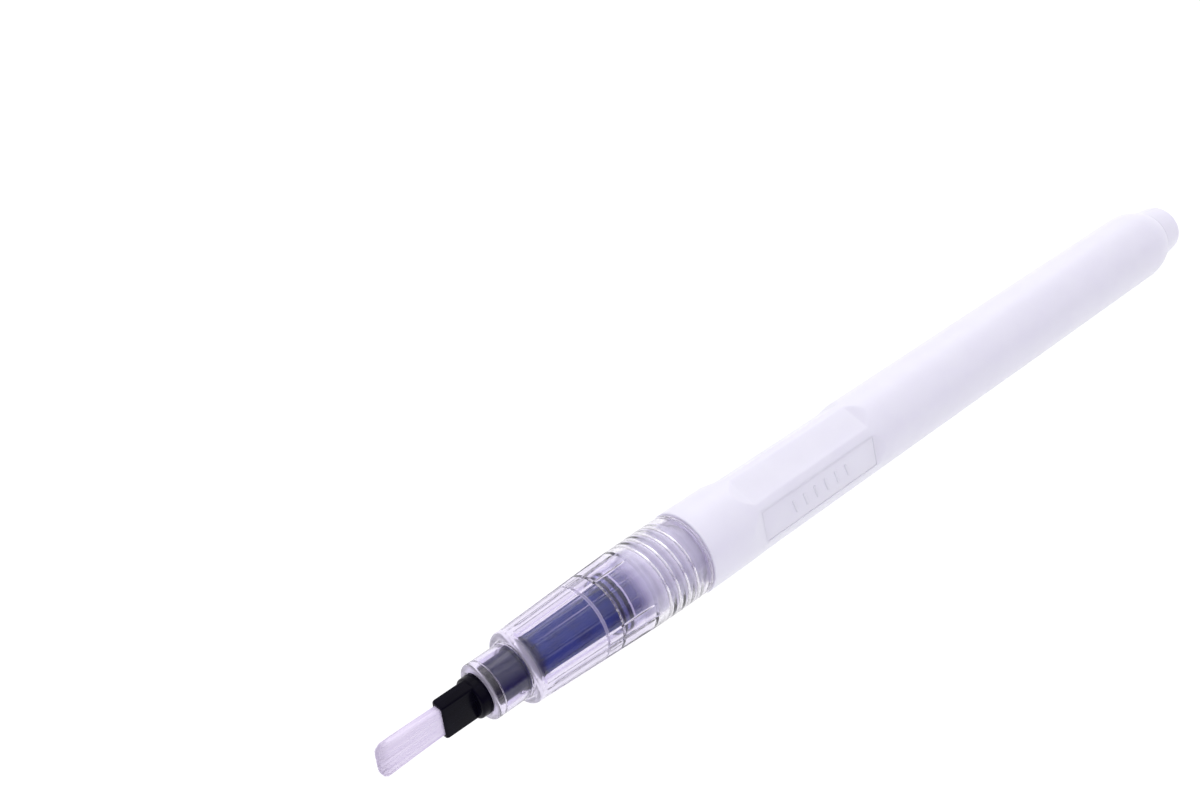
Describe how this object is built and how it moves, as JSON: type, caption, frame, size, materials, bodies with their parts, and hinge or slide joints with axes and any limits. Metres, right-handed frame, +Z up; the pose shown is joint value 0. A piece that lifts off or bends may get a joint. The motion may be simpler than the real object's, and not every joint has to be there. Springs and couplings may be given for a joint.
{
  "type": "squeeze water brush pen",
  "caption": "Refillable water brush pen: milky squeeze barrel with finger flats, clear screw-on grip section, black flat ferrule and flat nylon bristles, shown without its cap.",
  "frame": {"origin": "middle of the pen's length, on the surface that it lies on, straight under its axis", "axes": "+X along the pen towards the end of the barrel (the bristles point to -X), +Z up, +Y to the side away from the front press flat"},
  "size_m": [0.155, 0.011, 0.0111],
  "materials": {
    "milky_barrel": "translucent milky polyethylene, satin moulded skin",
    "milky_plug": "translucent milky polyethylene, satin",
    "dark_seal": "smooth dark elastomer",
    "white_fibre": "bonded fibre, matte",
    "clear_gasket": "clear soft plastic",
    "clear_section": "clear moulded plastic with a cool tint, polished",
    "black_ferrule": "black moulded plastic, semi-gloss",
    "bristle": "fine white nylon filament",
    "melted_bristle": "fused nylon",
    "navy_feed": "dark blue-black moulded plastic",
    "white_plug": "white moulded plastic"
  },
  "bodies": {
    "barrel": {"barrel": "milky_barrel", "end_plug": "milky_plug", "neck_seal": "dark_seal", "neck_stopper": "milky_plug", "felt_pad": "white_fibre"},
    "gasket": {"rim_gasket": "clear_gasket"},
    "front": {"grip_section": "clear_section", "ferrule": "black_ferrule", "tuft": "bristle", "tuft_bond": "melted_bristle", "feed_tube": "navy_feed", "fibre_wick": "white_fibre", "flow_plug": "white_plug"},
    "panel_front": {"press_panel_front": "milky_barrel"},
    "panel_back": {"press_panel_back": "milky_barrel"}
  },
  "joints": [
    {"name": "section_turn", "type": "hinge", "parent": "barrel", "child": "gasket", "pos_m": [-0.03218, 0, 0.00555], "axis": [-1, 0, 0], "range_deg": [0, 1441]},
    {"name": "section_travel", "type": "slide", "parent": "gasket", "child": "front", "axis": [-1, 0, 0], "range_m": [0, 0.006]},
    {"name": "press_front", "type": "slide", "parent": "barrel", "child": "panel_front", "axis": [0, 0.9455, -0.3256], "range_m": [0, 0.0012], "stiffness_N_per_m": 40, "springref_m": -0.0005},
    {"name": "press_back", "type": "slide", "parent": "barrel", "child": "panel_back", "axis": [0, -0.9455, 0.3256], "range_m": [0, 0.0012], "stiffness_N_per_m": 40, "springref_m": -0.0005}
  ],
  "couplings": [
    {"joint": "section_turn", "follows": "section_travel", "rad_per_m": 4188.8}
  ]
}
